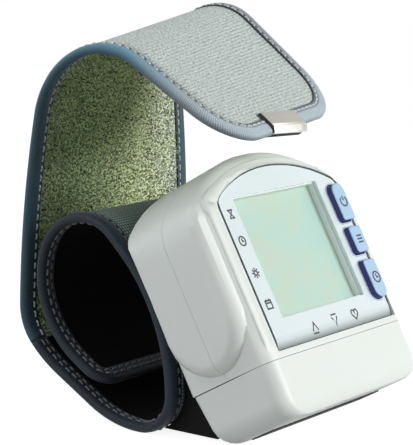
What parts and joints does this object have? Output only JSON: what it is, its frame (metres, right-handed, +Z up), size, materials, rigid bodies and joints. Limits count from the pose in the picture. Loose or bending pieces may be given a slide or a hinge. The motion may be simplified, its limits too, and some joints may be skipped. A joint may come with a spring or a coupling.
{
  "type": "wrist blood pressure monitor",
  "caption": "Wrist blood pressure monitor: leaning display unit with buttons and battery cover on an inflatable cuff loop with a long free closing strap.",
  "frame": {"origin": "middle of the bounding box at the surface the monitor stands on", "axes": "+Z up, +Y from the near cuff edge to the far one along the wrist, +X from the strap hinge toward the display side"},
  "size_m": [0.0936, 0.0754, 0.1124],
  "materials": {
    "case_abs": "satin gloss",
    "panel_acrylic": "high gloss",
    "window": "clear gloss",
    "display": "matt grey-green",
    "button_blue": "satin",
    "inner_plastic": "matt",
    "silicone": "matt",
    "board": "solder mask",
    "steel": "plain",
    "clip_nickel": "nickel plate",
    "black_plastic": "satin",
    "clear_rubber": "translucent",
    "cell_wrap": "printed film",
    "stiffener_sheet": "milky",
    "cuff_cloth": "knitted",
    "edge_tape": "twill",
    "strap_cloth": "ribbed weave",
    "strap_fleece": "brushed pile"
  },
  "bodies": {
    "monitor": {"air_bladder": "silicone", "air_manifold": "black_plastic", "battery_1": "cell_wrap", "battery_2": "cell_wrap", "battery_tray": "inner_plastic", "beeper": "black_plastic", "button_pad": "silicone", "case_screw_1": "steel", "case_screw_2": "steel", "case_screw_3": "steel", "case_screw_4": "steel", "circuit_board": "board", "contact_link": "steel", "contact_minus": "steel", "contact_plus": "steel", "cuff_edge_tape": "edge_tape", "cuff_lining": "cuff_cloth", "cuff_mount_plate": "black_plastic", "cuff_outer_cover": "cuff_cloth", "cuff_stiffener": "stiffener_sheet", "display_panel": "panel_acrylic", "front_cover": "case_abs", "lcd_connector": "silicone", "lcd_frame": "inner_plastic", "lcd_glass": "display", "pressure_sensor": "inner_plastic", "pump_head": "black_plastic", "pump_hose": "clear_rubber", "pump_motor": "steel", "rear_cover": "case_abs", "release_valve": "black_plastic", "sensor_hose": "clear_rubber", "valve_hose": "clear_rubber", "window_lens": "window"},
    "power_button": {"power_button": "button_blue"},
    "memory_button": {"memory_button": "button_blue"},
    "time_button": {"time_button": "button_blue"},
    "battery_cover": {"battery_cover": "case_abs"},
    "free_strap": {"strap_face": "strap_cloth", "strap_pile": "strap_fleece", "strap_edge_tape": "edge_tape", "strap_end_clip": "clip_nickel"}
  },
  "joints": [
    {"name": "power_button_press", "type": "slide", "parent": "monitor", "child": "power_button", "axis": [-0.8746, 0, -0.4848], "range_m": [0, 0.0007], "stiffness_N_per_m": 1000, "springref_m": -0.001},
    {"name": "memory_button_press", "type": "slide", "parent": "monitor", "child": "memory_button", "axis": [-0.8746, 0, -0.4848], "range_m": [0, 0.0007], "stiffness_N_per_m": 1000, "springref_m": -0.001},
    {"name": "time_button_press", "type": "slide", "parent": "monitor", "child": "time_button", "axis": [-0.8746, 0, -0.4848], "range_m": [0, 0.0007], "stiffness_N_per_m": 1000, "springref_m": -0.001},
    {"name": "battery_cover_slide", "type": "slide", "parent": "monitor", "child": "battery_cover", "axis": [0.4848, 0, -0.8746], "range_m": [0, 0.03]},
    {"name": "free_strap_hinge", "type": "hinge", "parent": "monitor", "child": "free_strap", "pos_m": [-0.04014, 0.0003, 0.01907], "axis": [0, -1, 0], "range_deg": [0, 60]}
  ]
}
